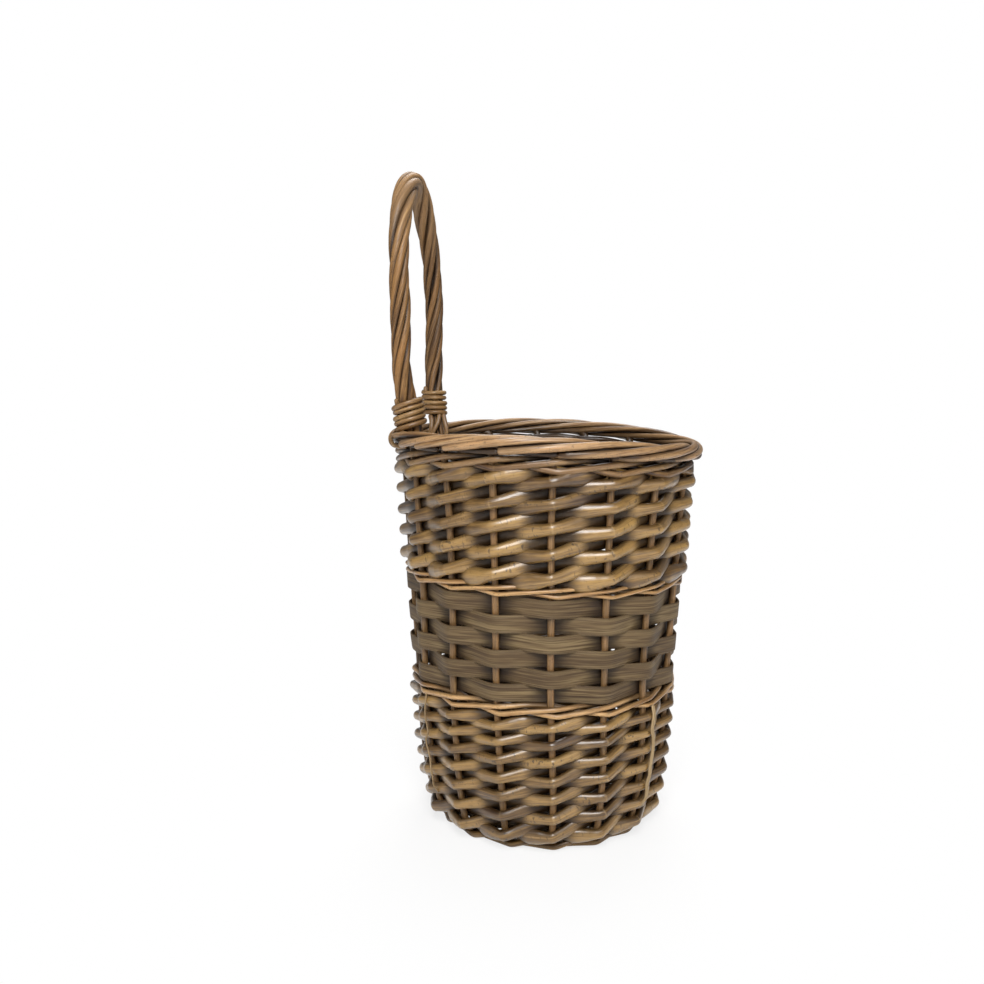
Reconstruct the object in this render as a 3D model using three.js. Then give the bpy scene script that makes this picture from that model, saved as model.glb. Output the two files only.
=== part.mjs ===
import * as THREE from 'three';

// Hanging willow basket, in millimetres, Z up, standing on its base, with the handle at +Y.
// Angles run anticlockwise seen from above. Every rod is its own closed mesh.

// Stakes, the upright rods that the rest is woven on
const stakeCount = 16;
const stakeDiameter = 4.6;
const firstStakeAngle = 10;

// Room between rods that touch, and what a rod kinked round a stake needs besides
const clearance = 0.3;
const kinkRoom = 0.4;

// Side view of a stake: flat floor, rounded heel, then a wall that leans out a little
const floorRadius = 75.8;
const heelHeight = 60;
const heelDepth = 9.5;
const wallLean = 0.058;
const wallRun = 230;
const rimSlope = 0.034;
const rimSag = 5.6;

// The stakes cross four over four under the middle of the floor and fan out from there
const crossGap = 0.6;
const crossShare = 1.8;
const fanReach = 18;

// Where a stake is bent on its way round the heel, as shares of the heel's length
const heelBends = [0.12, 0.28, 0.48, 0.72, 1];

// Floor rounds
const floorRoundPitch = 8.3;
const floorRodThickness = 3;

// Wales: each is one rod in three laps, in front of two stakes and behind one
const waleDiameter = 3.2;
const topWaleDiameter = 3.6;
const footWaleDiameter = 4.4;
const footWaleInset = 2.4;
const footGap = 1.6;
const lowerBandGap = 3;

// French randing: one rod for each stake, in front of one stake and behind the next, rising all the way
const lowerStrokes = 7;
const lowerRise = 7.4;
const lowerEase = 0.07;
const lowerThickness = 3.8;
const lowerDip = 1.5;
const upperStrokes = 5;
const upperRise = 8;
const upperEase = 0.03;
const upperThickness = 4.4;
const upperDip = 3;
const endRoom = 0.7;
const endTaper = 0.8;
const tipLift = 3;

// Flat split-wood strips
const stripRows = 6;
const stripHeight = 11.3;
const stripThickness = 1.5;

// Rolled border: strands laid round each other, one turn in five stake spaces
const borderStrands = 5;
const borderLay = 5;
const borderStrandDiameter = 3.9;
const borderStrandRoom = 0.5;
const borderGap = 1.7;
const borderOverhang = 5.5;

// Handle: a laid bow whose legs go down inside the wall. Insets are measured in from the border's middle.
const handleRise = 175.5;
const archRise = 79;
const archLean = 3;
const archSteps = 16;
const legTopAngle = 27.9;
const legTopInset = 2.6;
const legRimAngle = 23.8;
const legRimInset = 9;
const legBend = 62;
const legRises = [2, 6, 12, 22, 36, 50, legBend];
const tailInset = 17.1;
const tailDepth = 42;
const tailDrops = [26, 18, 12];
const tailBend = 18;
const legSeat = 8;
const tailTaper = 0.62;
const handleRadius = 6.6;
const handleStrands = 7;
const handleGroove = 0.6;
const handleLay = 170;

// Bindings: rods wound round the legs above the border
const bindingTurns = 5;
const bindingDiameter = 3;
const bindingPitch = 3.55;
const bindingRoom = 0.9;
const bindingSteps = 16;

const stakeRadius = stakeDiameter / 2;
const stakeSpacing = (2 * Math.PI) / stakeCount;
const flatOfFive = Math.cos(Math.PI / 5);
// The foot wale's lower faces lie at height 0
const floorLevel = stakeRadius + clearance + kinkRoom + footWaleDiameter * flatOfFive;
const crossPitch = stakeDiameter + crossGap;
const crossFlat = 1.5 * crossPitch * Math.SQRT2 + stakeRadius + clearance;
const crossReach = crossShare * crossFlat;

function willow(color, roughness) {
  return new THREE.MeshStandardMaterial({ color, roughness, metalness: 0 });
}

const stakeWood = willow(0xa6774f, 0.6);
const randingWood = willow(0x9c8657, 0.5);
const stripWood = willow(0x74664c, 0.75);
const waleWood = willow(0xb88a58, 0.5);
const borderWood = willow(0xb28c5c, 0.5);
const handleWood = willow(0x8c6139, 0.45);
const bindingWood = willow(0x98804f, 0.55);
const floorWood = willow(0x8a7650, 0.6);

// Half a stake from the side: x is the distance from the basket's axis and y the height
class StakeLine extends THREE.Curve {
  constructor() {
    super();
    this.arcLengthDivisions = 900;
  }

  getPoint(t, target = new THREE.Vector2()) {
    if (t < 1 / 3) return target.set(3 * t * floorRadius, floorLevel);
    const above = t < 2 / 3 ? heelHeight * (1 - Math.cos((3 * t - 1) * Math.PI / 2)) : heelHeight
      + (3 * t - 2) * wallRun;
    const bulge = t < 2 / 3 ? heelDepth * Math.sin((3 * t - 1) * Math.PI / 2) : heelDepth;
    return target.set(floorRadius + bulge + wallLean * above, floorLevel + above);
  }
}

const stakeLine = new StakeLine();
const lineLength = stakeLine.getLength();
const wallStretch = Math.hypot(1, wallLean);
const heelArc = lineLength - floorRadius - wallRun * wallStretch;

const lowerRanding = {
  strokes: lowerStrokes, rise: lowerRise, ease: lowerEase, thickness: lowerThickness, dip: lowerDip,
};
const upperRanding = {
  strokes: upperStrokes, rise: upperRise, ease: upperEase, thickness: upperThickness, dip: upperDip,
};

// Levels are arc lengths up the wall from the edge of the floor, each zone laid on the one below
const footTop = waleHalf(footWaleDiameter) - footWaleInset;
const lowerTop = layRanding(lowerRanding, footTop + footGap);
const lowerBand = lowerTop + lowerBandGap + clearance + waleHalf(waleDiameter);
lowerRanding.high = lowerBand - waleHalf(waleDiameter) - clearance;
const stripFoot = lowerBand + waleHalf(waleDiameter) + clearance;
const upperBand = stripFoot + stripRows * (stripHeight + clearance) + waleHalf(waleDiameter);
const upperTop = layRanding(upperRanding, upperBand + waleHalf(waleDiameter));
const topWale = upperTop + clearance + waleHalf(topWaleDiameter);
upperRanding.high = topWale - waleHalf(topWaleDiameter) - clearance;
const stakeTop = topWale + waleHalf(topWaleDiameter) + borderGap;

// Rope of the border: how far its strands run from its own middle, its outer radius, and how far its middle
// is above the stakes' ends, whose outer edges it rests on
const borderTwist = (borderStrandDiameter + borderStrandRoom) / (2 * Math.sin(Math.PI / borderStrands));
const borderEnvelope = borderTwist + borderStrandDiameter / 2;
const borderSeat = Math.sqrt(borderEnvelope ** 2 - (borderOverhang - stakeRadius) ** 2);
const borderLevel = heightAt(stakeTop) + clearance + borderSeat;
const rimTop = borderLevel + borderEnvelope;
const borderRadius = floorRadius + heelDepth + wallLean * (borderLevel - floorLevel) + borderOverhang;

// Height of a level on the straight part of the wall
function heightAt(level) {
  return floorLevel + heelHeight + (level - heelArc) / wallStretch;
}

// A place on the woven skin. Arc is measured along the stake from the middle of the floor, offset
// squarely out of it.
function onSkin(angle, arc, offset) {
  const point = stakeLine.getPointAt(arc / lineLength);
  const along = stakeLine.getTangentAt(arc / lineLength);
  const radius = point.x + along.y * offset;
  const cos = Math.cos(angle);
  const sin = Math.sin(angle);
  return {
    centre: new THREE.Vector3(radius * cos, radius * sin, point.y - along.x * offset),
    out: new THREE.Vector3(along.y * cos, along.y * sin, -along.x),
  };
}

function stakeAngle(place) {
  return THREE.MathUtils.degToRad(firstStakeAngle) + place * stakeSpacing;
}

// A rod's section: halfOut is half its thickness and halfUp half its height, both at the corners
function rodRing(sides, halfOut, halfUp) {
  const ring = [];
  for (let k = 0; k < sides; k += 1) {
    const a = ((2 * k + 1) * Math.PI) / sides;
    ring.push([halfOut * Math.cos(a), halfUp * Math.sin(a)]);
  }
  return ring;
}

// The rim sags at the handle and opposite it, and less at the handle
function lean(point) {
  const share = Math.min(1, point.z / rimTop);
  point.z += share * (rimSlope * point.y - rimSag * (point.y / borderRadius) ** 2);
  return point;
}

// Skins a row of stations, each with a centre, an outward direction and a ring of section points
function sweep(name, stations, material, closed) {
  const count = stations.length;
  const sides = stations[0].ring.length;
  const positions = [];
  stations.forEach((station, i) => {
    const next = stations[closed ? (i + 1) % count : Math.min(i + 1, count - 1)].centre;
    const last = stations[closed ? (i + count - 1) % count : Math.max(i - 1, 0)].centre;
    const tangent = next.clone().sub(last).normalize();
    const out = station.out.clone().addScaledVector(tangent, -station.out.dot(tangent)).normalize();
    const up = tangent.clone().cross(out);
    for (const [a, b] of station.ring) {
      const point = station.centre.clone().addScaledVector(out, a).addScaledVector(up, b);
      positions.push(...lean(point).toArray());
    }
  });
  const index = [];
  const spans = closed ? count : count - 1;
  for (let i = 0; i < spans; i += 1) {
    const here = i * sides;
    const there = ((i + 1) % count) * sides;
    for (let k = 0; k < sides; k += 1) {
      const side = (k + 1) % sides;
      index.push(here + k, here + side, there + side);
      index.push(here + k, there + side, there + k);
    }
  }
  if (!closed) {
    const end = (count - 1) * sides;
    for (let k = 1; k < sides - 1; k += 1) {
      index.push(0, k + 1, k);
      index.push(end, end + k, end + k + 1);
    }
  }
  const geometry = new THREE.BufferGeometry();
  geometry.setAttribute('position', new THREE.Float32BufferAttribute(positions, 3));
  geometry.setIndex(index);
  geometry.computeVertexNormals();
  const mesh = new THREE.Mesh(geometry, material);
  mesh.name = name;
  return mesh;
}

// Each stake is one rod, down the wall, across the floor and up the other side. The four of a group lie
// side by side across the middle, one group over the other, and fan out to even spacing.
function stakes() {
  const meshes = [];
  const arcs = [0, crossFlat / 2, crossFlat, (crossFlat + crossReach) / 2, crossReach, floorRadius];
  arcs.push(...heelBends.map((share) => floorRadius + share * heelArc), floorRadius + stakeTop);
  for (let group = 0; group < 2; group += 1) {
    const axis = stakeAngle(group * 4 + 1.5);
    const lift = (group === 0 ? -1 : 1) * (stakeRadius + clearance / 2);
    for (let i = 0; i < 4; i += 1) {
      const fan = (i - 1.5) * stakeSpacing;
      const stations = [];
      const run = [...arcs.slice(1).reverse().map((arc) => -arc), ...arcs];
      for (const reach of run) {
        const arc = Math.abs(reach);
        const angle = reach < 0 ? axis + Math.PI - fan : axis + fan;
        const station = onSkin(angle, arc, 0);
        if (arc < crossReach) {
          const along = reach * Math.cos(fan);
          const side = (i - 1.5) * crossPitch * Math.exp(-((along / fanReach) ** 2));
          const across = Math.sign(fan) * Math.hypot(side, along * Math.tan(fan));
          const raised = 1 - THREE.MathUtils.smoothstep(arc, crossFlat, crossReach);
          station.centre.set(
            along * Math.cos(axis) - across * Math.sin(axis),
            along * Math.sin(axis) + across * Math.cos(axis),
            floorLevel + lift * raised,
          );
        }
        station.ring = rodRing(5, stakeRadius, stakeRadius);
        stations.push(station);
      }
      meshes.push(sweep(`stake_${group * 4 + i + 1}`, stations, stakeWood, false));
    }
  }
  return meshes;
}

function offsets(halfThickness) {
  const seat = stakeRadius + clearance + halfThickness;
  return { front: seat + kinkRoom, back: -seat };
}

// A ring that passes in front of every second stake
function plainRound(name, arc, ringShape, halfThickness, phase, material) {
  const seat = offsets(halfThickness);
  const stations = [];
  for (let place = 0; place < stakeCount; place += 1) {
    const front = (place + phase) % 2 === 0;
    const station = onSkin(stakeAngle(place), arc, front ? seat.front : seat.back);
    station.ring = ringShape;
    stations.push(station);
  }
  return sweep(name, stations, material, true);
}

function wale(name, level, diameter) {
  const seat = offsets((diameter / 2) * flatOfFive);
  const step = diameter + clearance;
  const places = [
    { offset: seat.front, rise: -step / 2 },
    { offset: seat.front, rise: 0 },
    { offset: seat.front, rise: step / 2 },
    { offset: 0, rise: step },
    { offset: seat.back, rise: 0 },
    { offset: 0, rise: -step },
  ];
  const stations = [];
  for (let half = 0; half < 6 * stakeCount; half += 1) {
    const place = places[half % 6];
    const station = onSkin(stakeAngle(half / 2), floorRadius + level + place.rise, place.offset);
    station.ring = rodRing(5, diameter / 2, diameter / 2);
    stations.push(station);
  }
  return sweep(name, stations, waleWood, true);
}

function waleHalf(diameter) {
  return diameter + clearance + diameter / 2;
}

function randingLevel(zone, v) {
  return zone.first + zone.rise * v - zone.ease * v * v;
}

// Half the height of a rod where its neighbours pass half a stroke above and below it
function randingHalf(zone, v) {
  return (zone.rise - 2 * zone.ease * v - 2 * clearance) / 2;
}

function randingRod(name, zone, start) {
  const seat = offsets((zone.thickness / 2) * flatOfFive);
  const last = 2 * (zone.strokes - 1);
  const stations = [];
  const add = (v, level, half, offset) => {
    const station = onSkin(stakeAngle(start + v), floorRadius + level, offset);
    station.ring = rodRing(5, zone.thickness / 2, half);
    stations.push(station);
  };
  const buttRoof = randingLevel(zone, 0.5) - randingHalf(zone, 0.5) - endRoom;
  const buttHalf = Math.min((buttRoof - zone.low) / 2, randingHalf(zone, 0));
  add(-1, buttRoof - buttHalf - zone.dip, endTaper * buttHalf, seat.back);
  add(-0.5, buttRoof - buttHalf, buttHalf, 0);
  for (let v = 0; v <= last; v += 1) {
    add(v, randingLevel(zone, v), randingHalf(zone, v), v % 2 === 0 ? seat.front : seat.back);
  }
  const tipFloor = randingLevel(zone, last - 0.5) + randingHalf(zone, last - 0.5) + endRoom;
  const tipHalf = Math.min((zone.high - tipFloor) / 2, randingHalf(zone, last));
  add(last + 0.5, tipFloor + tipHalf, tipHalf, 0);
  add(last + 1, tipFloor + tipHalf + tipLift, endTaper * tipHalf, seat.back);
  return sweep(name, stations, randingWood, false);
}

// Lays a randing on what is below it and returns the level that its top reaches
function layRanding(zone, low) {
  zone.low = low + clearance;
  zone.first = zone.low + randingHalf(zone, 0);
  const last = 2 * (zone.strokes - 1);
  return randingLevel(zone, last) + randingHalf(zone, last);
}

// The strands of the border join end to end, so that the whole rope is one rod in as many laps
function border() {
  const stations = [];
  const perLap = 2 * stakeCount;
  for (let i = 0; i < perLap * borderStrands; i += 1) {
    const angle = (i / perLap) * 2 * Math.PI;
    const roll = angle * (stakeCount / borderLay);
    const radius = borderRadius + borderTwist * Math.cos(roll);
    stations.push({
      centre: new THREE.Vector3(
        radius * Math.cos(angle),
        radius * Math.sin(angle),
        borderLevel + borderTwist * Math.sin(roll),
      ),
      out: new THREE.Vector3(Math.cos(angle), Math.sin(angle), 0),
      ring: rodRing(5, borderStrandDiameter / 2, borderStrandDiameter / 2),
    });
  }
  return sweep('rolled_border', stations, borderWood, true);
}

// A point on the centre line of a leg, which stands inside the wall, comes out past the border and spreads
// above it. Side is -1 at the left leg, seen from the front, and 1 at the right.
function legPoint(side, height) {
  const out = THREE.MathUtils.smoothstep(height, rimTop - tailBend, rimTop + legSeat);
  const above = THREE.MathUtils.smoothstep(height, rimTop, rimTop + legBend);
  const inset = tailInset + (legRimInset - tailInset) * out + (legTopInset - legRimInset) * above;
  const turn = THREE.MathUtils.lerp(legRimAngle, legTopAngle, above);
  const angle = Math.PI / 2 - side * THREE.MathUtils.degToRad(turn);
  const radius = borderRadius - inset;
  return new THREE.Vector3(radius * Math.cos(angle), radius * Math.sin(angle), height);
}

function handleBow() {
  const drops = [tailDepth, ...tailDrops].map((drop) => rimTop - drop);
  const heights = [...drops, borderLevel, ...legRises.map((rise) => rimTop + rise)];
  const rightLeg = heights.map((height) => legPoint(1, height));
  const leftLeg = heights.map((height) => legPoint(-1, height)).reverse();
  const archFoot = rimTop + handleRise - archRise;
  const foot = legPoint(1, archFoot);
  const arch = [];
  for (let i = 0; i <= archSteps; i += 1) {
    const a = (Math.PI * i) / archSteps;
    arch.push(new THREE.Vector3(
      foot.x * Math.cos(a),
      foot.y + archLean * Math.sin(a),
      archFoot + archRise * Math.sin(a),
    ));
  }
  const centres = [...rightLeg, ...arch, ...leftLeg];
  let length = 0;
  const stations = centres.map((centre, i) => {
    if (i > 0) length += centre.distanceTo(centres[i - 1]);
    const full = THREE.MathUtils.smoothstep(centre.z, borderLevel - borderEnvelope, rimTop + legRises[0]);
    const radius = handleRadius * THREE.MathUtils.lerp(tailTaper, 1, full);
    const ring = [];
    for (let k = 0; k < 3 * handleStrands; k += 1) {
      const ridge = (2 * Math.PI * k) / (3 * handleStrands);
      const groove = handleGroove * (1 - Math.cos(handleStrands * ridge));
      const a = ridge - (2 * Math.PI * length) / handleLay;
      ring.push([(radius - groove) * Math.cos(a), (radius - groove) * Math.sin(a)]);
    }
    return { centre, out: new THREE.Vector3(0, 1, 0), ring };
  });
  return sweep('handle_bow', stations, handleWood, false);
}

// An unbroken winding whose turns lie side by side up the leg
function binding(name, side) {
  const reach = handleRadius + bindingRoom + bindingDiameter / 2;
  const bottom = rimTop + bindingRoom + bindingDiameter / 2;
  const stations = [];
  for (let i = 0; i <= bindingTurns * bindingSteps; i += 1) {
    const turn = i / bindingSteps;
    const height = bottom + turn * bindingPitch;
    const around = -side * 2 * Math.PI * turn;
    const out = new THREE.Vector3(Math.cos(around), Math.sin(around), 0);
    stations.push({
      centre: legPoint(side, height).addScaledVector(out, reach),
      out,
      ring: rodRing(6, bindingDiameter / 2, bindingDiameter / 2),
    });
  }
  printLeastGap(name, stations);
  return sweep(name, stations, bindingWood, false);
}

// Least distance between a winding's surface and itself, on points at least half a turn apart
function printLeastGap(name, stations) {
  let least = Infinity;
  for (let i = 0; i < stations.length; i += 1) {
    for (let j = i + bindingSteps / 2; j < stations.length; j += 1) {
      least = Math.min(least, stations[i].centre.distanceTo(stations[j].centre) - bindingDiameter);
    }
  }
  console.log(`${name}: least gap to itself ${least.toFixed(2)} mm`);
}

const basket = new THREE.Group();
basket.add(...stakes());

const floorEdge = floorRadius - footWaleInset - waleHalf(footWaleDiameter) - clearance;
const floorRounds = Math.floor((floorEdge - crossReach) / floorRoundPitch);
for (let i = 0; i < floorRounds; i += 1) {
  const arc = floorEdge - (i + 0.5) * floorRoundPitch;
  const ring = rodRing(6, floorRodThickness / 2 / Math.cos(Math.PI / 6), (floorRoundPitch - clearance) / 2);
  basket.add(plainRound(`floor_round_${i + 1}`, arc, ring, floorRodThickness / 2, i, floorWood));
}

basket.add(wale('foot_wale', -footWaleInset, footWaleDiameter));
for (let i = 0; i < stakeCount; i += 1) {
  basket.add(randingRod(`lower_randing_rod_${i + 1}`, lowerRanding, i));
}
basket.add(wale('lower_band_wale', lowerBand, waleDiameter));

for (let row = 0; row < stripRows; row += 1) {
  const arc = floorRadius + stripFoot + row * (stripHeight + clearance) + stripHeight / 2;
  const ring = rodRing(4, stripThickness / Math.SQRT2, stripHeight / Math.SQRT2);
  basket.add(plainRound(`strip_${row + 1}`, arc, ring, stripThickness / 2, row + 1, stripWood));
}
basket.add(wale('upper_band_wale', upperBand, waleDiameter));

for (let i = 0; i < stakeCount; i += 1) {
  basket.add(randingRod(`upper_randing_rod_${i + 1}`, upperRanding, i));
}
basket.add(wale('top_wale', topWale, topWaleDiameter));
basket.add(border());

basket.add(handleBow());
basket.add(binding('handle_binding_left', -1));
basket.add(binding('handle_binding_right', 1));

export default basket;
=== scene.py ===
import math

import bpy
import numpy as np
from mathutils import Euler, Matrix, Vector

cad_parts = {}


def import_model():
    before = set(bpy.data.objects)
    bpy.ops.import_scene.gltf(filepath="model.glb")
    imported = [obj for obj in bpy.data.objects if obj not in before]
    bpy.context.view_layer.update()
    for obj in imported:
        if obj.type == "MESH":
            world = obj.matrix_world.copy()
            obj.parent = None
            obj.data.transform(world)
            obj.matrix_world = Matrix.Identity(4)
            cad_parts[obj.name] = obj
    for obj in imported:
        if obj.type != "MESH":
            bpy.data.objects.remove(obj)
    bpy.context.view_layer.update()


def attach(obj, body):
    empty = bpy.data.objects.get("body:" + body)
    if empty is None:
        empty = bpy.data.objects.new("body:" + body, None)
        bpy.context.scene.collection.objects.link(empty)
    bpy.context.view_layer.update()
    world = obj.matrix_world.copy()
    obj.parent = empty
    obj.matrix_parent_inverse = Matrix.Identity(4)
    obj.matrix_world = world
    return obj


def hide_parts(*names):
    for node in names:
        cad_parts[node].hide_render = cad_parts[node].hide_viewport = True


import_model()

mm = 0.001

# The basket's own sizes are in millimetres and its angles in degrees. Round the basket, places count the
# stakes anticlockwise from above: place 0 is the first stake, 0.5 the gap after it. Up the wall, levels are
# lengths from the floor's edge.
wall = {
    "stakes": 16, "firstAngle": 10.0, "stakeRadius": 2.3, "floorRadius": 75.8, "floorLevel": 6.6,
    "heelHeight": 60.0, "heelDepth": 9.5, "heelRows": 400, "lean": 0.058, "straight": 240.0,
    "rimTop": 281.9, "rimSlope": 0.034, "rimSag": 5.6, "rimRadius": 106.4,
    "footTwist": 2.0, "footTwistLevels": [20, 130], "unevenLevels": [40, 200],
}
stakeTurn = 360 / wall["stakes"]
cameraBearing = 187.0

# A maker's hand doesn't space the stakes evenly: places, and the degrees that the wall is turned there near
# the rim
unevenPlaces = [4, 5, 6, 7, 8, 9, 10, 11, 12]
unevenTurns = [0, 4.5, 3, 0.6, 0, -0.3, -1.6, 2.2, 0]


# How rods are laid and skinned

def unit(vectors):
    return vectors / np.linalg.norm(vectors, axis=-1, keepdims=True)


def smoothStep(value, low, high):
    # 0 at low, 1 at high, smooth between and level beyond
    t = np.clip((value - low) / (high - low), 0, 1)
    return t * t * (3 - 2 * t)


def polar(radius, angle, height):
    return np.stack(np.broadcast_arrays(radius * np.cos(angle), radius * np.sin(angle), height), -1)


def runLength(points):
    # Each point's way from the first, along the line through them
    return np.concatenate([[0], np.cumsum(np.linalg.norm(np.diff(points, axis=0), axis=1))])


def sideLine():
    # Floor, then a quarter ellipse heelDepth out and heelHeight up, then a straight wall. From the heel on,
    # the radius also grows by lean times the height.
    turn = np.linspace(0, math.pi / 2, wall["heelRows"])
    heel = wall["heelHeight"] * (1 - np.cos(turn))
    rise = np.concatenate([[0], heel, [wall["heelHeight"] + wall["straight"]]])
    bulge = np.concatenate([[0], wall["heelDepth"] * np.sin(turn), [wall["heelDepth"]]])
    radius = np.concatenate([[0], (wall["floorRadius"] + bulge + wall["lean"] * rise)[1:]])
    height = wall["floorLevel"] + rise
    arc = np.concatenate([[0], np.cumsum(np.hypot(np.diff(radius), np.diff(height)))])
    return arc, radius, height


lineArc, lineRadius, lineHeight = sideLine()


def unevenTurn(place):
    return np.interp(place, unevenPlaces, unevenTurns, period=wall["stakes"])


def onWall(place, level, offset):
    # A point on the side line, turned to its place and moved squarely out of the wall by offset
    place, level, offset = np.broadcast_arrays(*(np.asarray(v, float) for v in (place, level, offset)))
    arc = wall["floorRadius"] + level
    step = 0.5
    radius, height = np.interp(arc, lineArc, lineRadius), np.interp(arc, lineArc, lineHeight)
    outward = np.interp(arc + step, lineArc, lineRadius) - np.interp(arc - step, lineArc, lineRadius)
    upward = np.interp(arc + step, lineArc, lineHeight) - np.interp(arc - step, lineArc, lineHeight)
    length = np.hypot(outward, upward)
    outward, upward = outward / length, upward / length
    turn = unevenTurn(place) * smoothStep(level, *wall["unevenLevels"])
    turn = turn + wall["footTwist"] * (1 - smoothStep(level, *wall["footTwistLevels"]))
    angle = np.radians(wall["firstAngle"] + place * stakeTurn + turn)
    away = radius + upward * offset
    return polar(away, angle, height - outward * offset), polar(upward, angle, -outward)


def leanRim(points):
    # Height grows by rimSlope y and sinks by rimSag (y / rimRadius) squared, fading to nothing at the ground
    points = points.copy()
    y = points[..., 1]
    share = np.clip(points[..., 2] / wall["rimTop"], 0, 1)
    points[..., 2] += share * (wall["rimSlope"] * y - wall["rimSag"] * (y / wall["rimRadius"]) ** 2)
    return points


def fillIn(values, perSpan):
    # Straight stretches between the given rows, each cut into perSpan steps
    values = np.asarray(values, float)
    rows = np.arange(len(values))
    fine = np.linspace(0, len(values) - 1, (len(values) - 1) * perSpan + 1)
    if values.ndim == 1:
        return np.interp(fine, rows, values)
    return np.stack([np.interp(fine, rows, column) for column in values.T], -1)


def soften(values, times):
    # Each row becomes a quarter of each neighbour and half of itself, as many times as asked
    values = np.asarray(values, float).copy()
    for _ in range(times):
        values[1:-1] = (values[:-2] + 2 * values[1:-1] + values[2:]) / 4
    return values


def layAlong(points, outs, perSpan, smooth, smoothOuts=0):
    # A rod's fine line and its outward directions, from a few rows along its way
    return soften(fillIn(points, perSpan), smooth), soften(fillIn(outs, perSpan), smoothOuts)


def wander(rng, count, spacing, size):
    # A slow random drift: random values every spacing rows, smoothly joined. The dictionaries give drifts as
    # pairs of spacing and size.
    knots = rng.normal(0, size, count // spacing + 3)
    at = np.arange(count) / spacing
    low = at.astype(int)
    share = smoothStep(at - low, 0, 1)
    return knots[low] * (1 - share) + knots[low + 1] * share


def bendDistance(at, every, spanLength):
    # Way along the rod from the nearest bend, in millimetres, where a bend stands at each multiple of every
    return (at - np.round(at / every) * every) * spanLength


noBend = 99.0  # further away than any bend's marks reach
endRoom = 0.02  # least way from a rounded end, in half thicknesses, so that its last ring isn't a point


def tube(centres, outs, halfOut, halfUp, sides, tone, kink=noBend, squareness=2.0, swell=0.0, ends="round",
         recess=0.0):
    # A ring of sides points round every centre: out times halfOut times cos, plus up times halfUp times sin,
    # both 1 + swell times as large. Cos and sin are raised to 2 / squareness: 2 is an ellipse and more is
    # squarer. The seam is on the inner side.
    centres = np.asarray(centres, float)
    count = len(centres)
    tangents = unit(np.gradient(centres, axis=0))
    outs = unit(outs - np.sum(outs * tangents, -1, keepdims=True) * tangents)
    ups = np.cross(tangents, outs)
    halfOut = np.broadcast_to(halfOut, count).astype(float)
    halfUp = np.broadcast_to(halfUp, count).astype(float)
    length = runLength(centres)
    if ends == "round":
        near = np.minimum(length, length[-1] - length) / np.minimum(halfOut, halfUp)
        near = np.clip(near, endRoom, 1)
        rounding = np.sqrt(1 - (1 - near) ** 2)
        halfOut, halfUp = halfOut * rounding, halfUp * rounding
    angle = (np.arange(sides) + 0.5) / sides * 2 * math.pi - math.pi
    power = 2 / squareness
    c = np.sign(np.cos(angle)) * np.abs(np.cos(angle)) ** power
    s = np.sign(np.sin(angle)) * np.abs(np.sin(angle)) ** power
    grow = np.broadcast_to(1 + swell, (count, sides))
    points = (
        centres[:, None]
        + outs[:, None] * (halfOut[:, None] * c * grow)[..., None]
        + ups[:, None] * (halfUp[:, None] * s * grow)[..., None]
    )
    return {"points": leanRim(points), "length": length, "cut": ends == "cut",
            "tone": np.broadcast_to(tone, count), "kink": np.broadcast_to(kink, count),
            "recess": np.broadcast_to(recess, count)}


def makePiece(name, tubes, skin, nodes):
    # Skins the tubes with quads and closes their ends, all in one mesh. UV grain holds the share of the way
    # round and the length along the rod in metres. Point values: tone is the rod's own tone of colour, kink
    # the way from its nearest bend in millimetres, and recess the share of painted shade, 1 where it lies
    # back between its neighbours.
    points, quads, caps, grainQuads, grainCaps, cut = [], [], [], [], [], []
    start = 0
    for t in tubes:
        count, sides = t["points"].shape[:2]
        ring = start + np.arange(count * sides).reshape(count, sides)
        length = t["length"] * mm
        caps += [ring[0, ::-1], ring[-1]]
        cut += [t["cut"]] * 2
        grainCaps += [np.tile([0.5, length[0]], (sides, 1)), np.tile([0.5, length[-1]], (sides, 1))]
        after = np.roll(ring, -1, 1)
        quads.append(np.stack([ring[:-1], after[:-1], after[1:], ring[1:]], -1).reshape(-1, 4))
        u0 = np.broadcast_to((np.arange(sides) + 0.5) / sides, (count - 1, sides))
        u1 = u0 + 1 / sides
        v0 = np.broadcast_to(length[:-1, None], u0.shape)
        v1 = np.broadcast_to(length[1:, None], u0.shape)
        grainQuads.append(np.stack([u0, v0, u1, v0, u1, v1, u0, v1], -1).reshape(-1, 2))
        points.append(t["points"].reshape(-1, 3) * mm)
        start += count * sides
    quads = np.vstack(quads)
    mesh = bpy.data.meshes.new(name)
    mesh.from_pydata(np.vstack(points).tolist(), [], quads.tolist() + [cap.tolist() for cap in caps])
    grain = np.vstack(grainQuads + grainCaps)
    mesh.uv_layers.new(name="grain").data.foreach_set("uv", grain.ravel())
    for label in ("tone", "kink", "recess"):
        values = np.concatenate([np.repeat(t[label], t["points"].shape[1]) for t in tubes])
        mesh.attributes.new(label, "FLOAT", "POINT").data.foreach_set("value", values)
    index = np.concatenate([np.zeros(len(quads), int), np.array(cut, int)])
    mesh.polygons.foreach_set("material_index", index)
    mesh.polygons.foreach_set("use_smooth", index == 0)
    mesh.materials.append(skin)
    mesh.materials.append(cutSkin)
    piece = bpy.data.objects.new(name, mesh)
    bpy.context.scene.collection.objects.link(piece)
    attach(piece, "root")
    if nodes:
        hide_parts(*nodes)


# Shaders

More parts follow.
